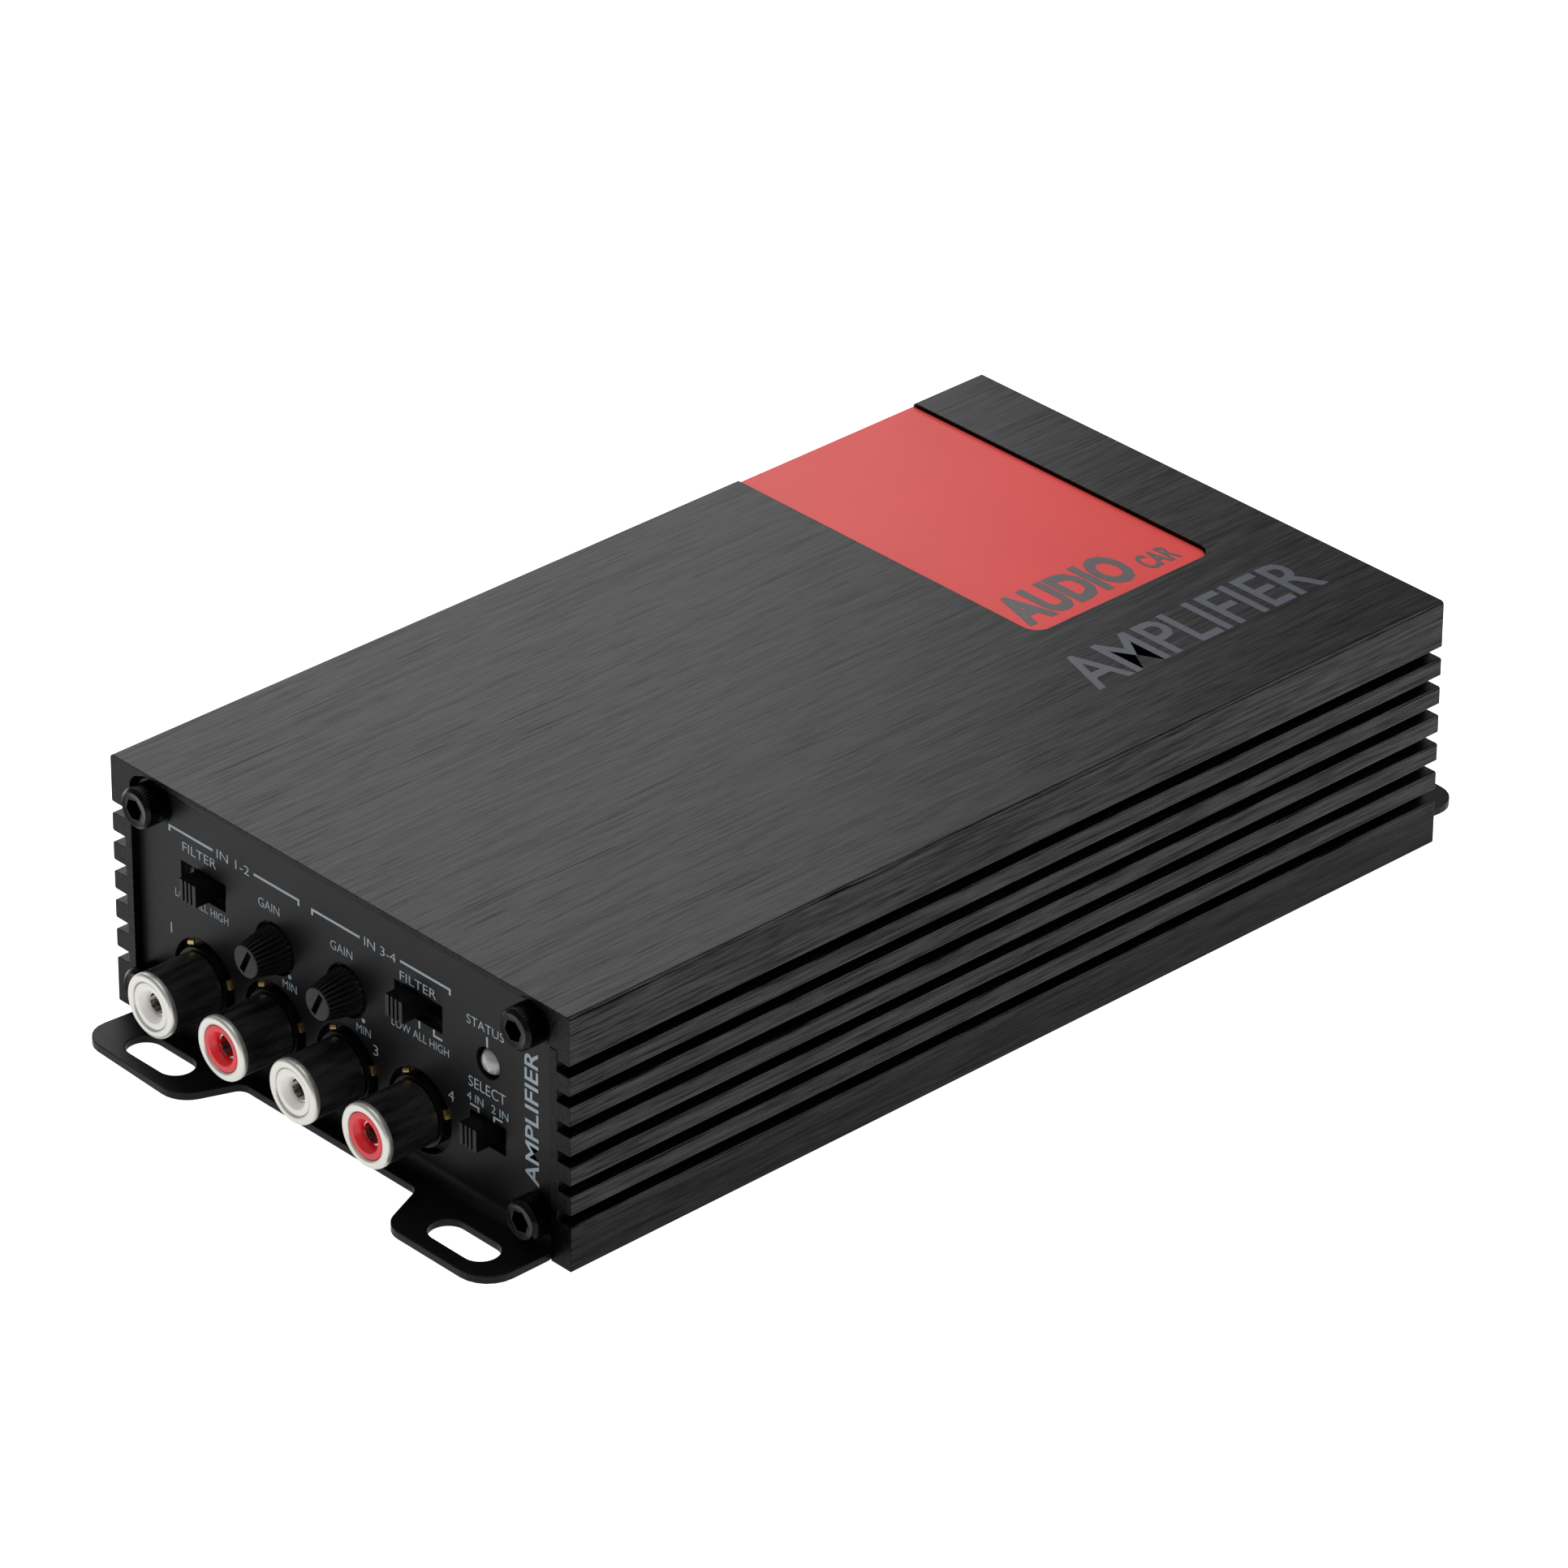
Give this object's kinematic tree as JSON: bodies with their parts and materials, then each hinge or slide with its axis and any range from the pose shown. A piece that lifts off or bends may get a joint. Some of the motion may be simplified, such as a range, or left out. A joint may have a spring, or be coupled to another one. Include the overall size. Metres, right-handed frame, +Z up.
{
  "type": "car amplifier",
  "caption": "Compact finned aluminium car amplifier with RCA inputs, level knobs and slide switches on a bent steel end bracket with slotted feet.",
  "frame": {"origin": "centre of the base in plan, in the plane of the feet and the chassis underside", "axes": "+X across the width, +Y from the RCA input end to the socket end, +Z up"},
  "size_m": [0.081, 0.1628, 0.034],
  "materials": {
    "black_anodised": "brushed along the length and anodised black",
    "black_paint": "fine matte black powder coat",
    "red_acrylic": "translucent red acrylic, satin face",
    "black_oxide": "black oxide steel, slightly oily",
    "nickel": "bright nickel plate",
    "white_plastic": "moulded white plastic",
    "red_plastic": "moulded red plastic",
    "gold": "thin gold plate",
    "black_plastic": "moulded black plastic",
    "pot_blue": "moulded blue plastic",
    "tinned_steel": "tin plated steel",
    "clear_lens": "clear diffused epoxy",
    "circuit_board": "green solder mask",
    "white_board": "white solder mask",
    "brass": "turned brass",
    "ivory_plastic": "moulded ivory nylon",
    "orange_plastic": "translucent orange plastic",
    "ferrite": "grey ferrite",
    "copper_wire": "enamelled copper wire",
    "capacitor_sleeve": "dark printed sleeve",
    "grey_silicone": "soft silicone pad",
    "bare_aluminium": "plain extruded aluminium"
  },
  "bodies": {
    "amplifier": {"top_cover": "black_anodised", "lower_chassis": "black_anodised", "front_bracket": "black_paint", "rear_bracket": "black_paint", "window_panel": "red_acrylic", "window_light_board": "white_board", "window_light_ribbon": "white_board", "front_screws": "black_oxide", "rear_screws": "black_oxide", "lock_washers": "black_oxide", "rca_shell_1": "nickel", "rca_shell_2": "nickel", "rca_shell_3": "nickel", "rca_shell_4": "nickel", "rca_insulator_1": "white_plastic", "rca_insulator_2": "red_plastic", "rca_insulator_3": "white_plastic", "rca_insulator_4": "red_plastic", "rca_contacts": "gold", "rca_housings": "black_plastic", "front_level_pot": "pot_blue", "rear_level_pot": "pot_blue", "front_filter_switch": "tinned_steel", "rear_filter_switch": "tinned_steel", "mode_switch": "tinned_steel", "status_lamp": "clear_lens", "control_board": "circuit_board", "main_board": "circuit_board", "link_header": "black_plastic", "board_standoffs": "brass", "board_screws": "tinned_steel", "power_socket": "black_plastic", "power_blades": "gold", "speaker_socket": "ivory_plastic", "speaker_pins": "gold", "fuse_holder": "black_plastic", "blade_fuse": "orange_plastic", "supply_transformer": "ferrite", "input_choke": "copper_wire", "output_inductors": "copper_wire", "bulk_capacitors": "capacitor_sleeve", "power_transistors": "black_plastic", "transistor_clamp": "tinned_steel", "clamp_screws": "tinned_steel", "thermal_pad": "grey_silicone", "amplifier_chip": "black_plastic", "heat_spreader": "bare_aluminium", "wireless_module": "circuit_board"},
    "front_level_control": {"front_level_knob": "black_plastic"},
    "rear_level_control": {"rear_level_knob": "black_plastic"},
    "front_filter_actuator": {"front_filter_slider": "black_plastic"},
    "rear_filter_actuator": {"rear_filter_slider": "black_plastic"},
    "mode_actuator": {"mode_slider": "black_plastic"}
  },
  "joints": [
    {"name": "front_level_turn", "type": "hinge", "parent": "amplifier", "child": "front_level_control", "pos_m": [-0.01235, -0.0748, 0.0192], "axis": [0, 1, 0], "range_deg": [0, 300]},
    {"name": "rear_level_turn", "type": "hinge", "parent": "amplifier", "child": "rear_level_control", "pos_m": [0.00045, -0.0748, 0.0192], "axis": [0, 1, 0], "range_deg": [0, 300]},
    {"name": "front_filter_slide", "type": "slide", "parent": "amplifier", "child": "front_filter_actuator", "axis": [1, 0, 0], "range_m": [-0.0015, 0.0015]},
    {"name": "rear_filter_slide", "type": "slide", "parent": "amplifier", "child": "rear_filter_actuator", "axis": [1, 0, 0], "range_m": [0, 0.003]},
    {"name": "mode_slide", "type": "slide", "parent": "amplifier", "child": "mode_actuator", "axis": [1, 0, 0], "range_m": [0, 0.0015]}
  ]
}
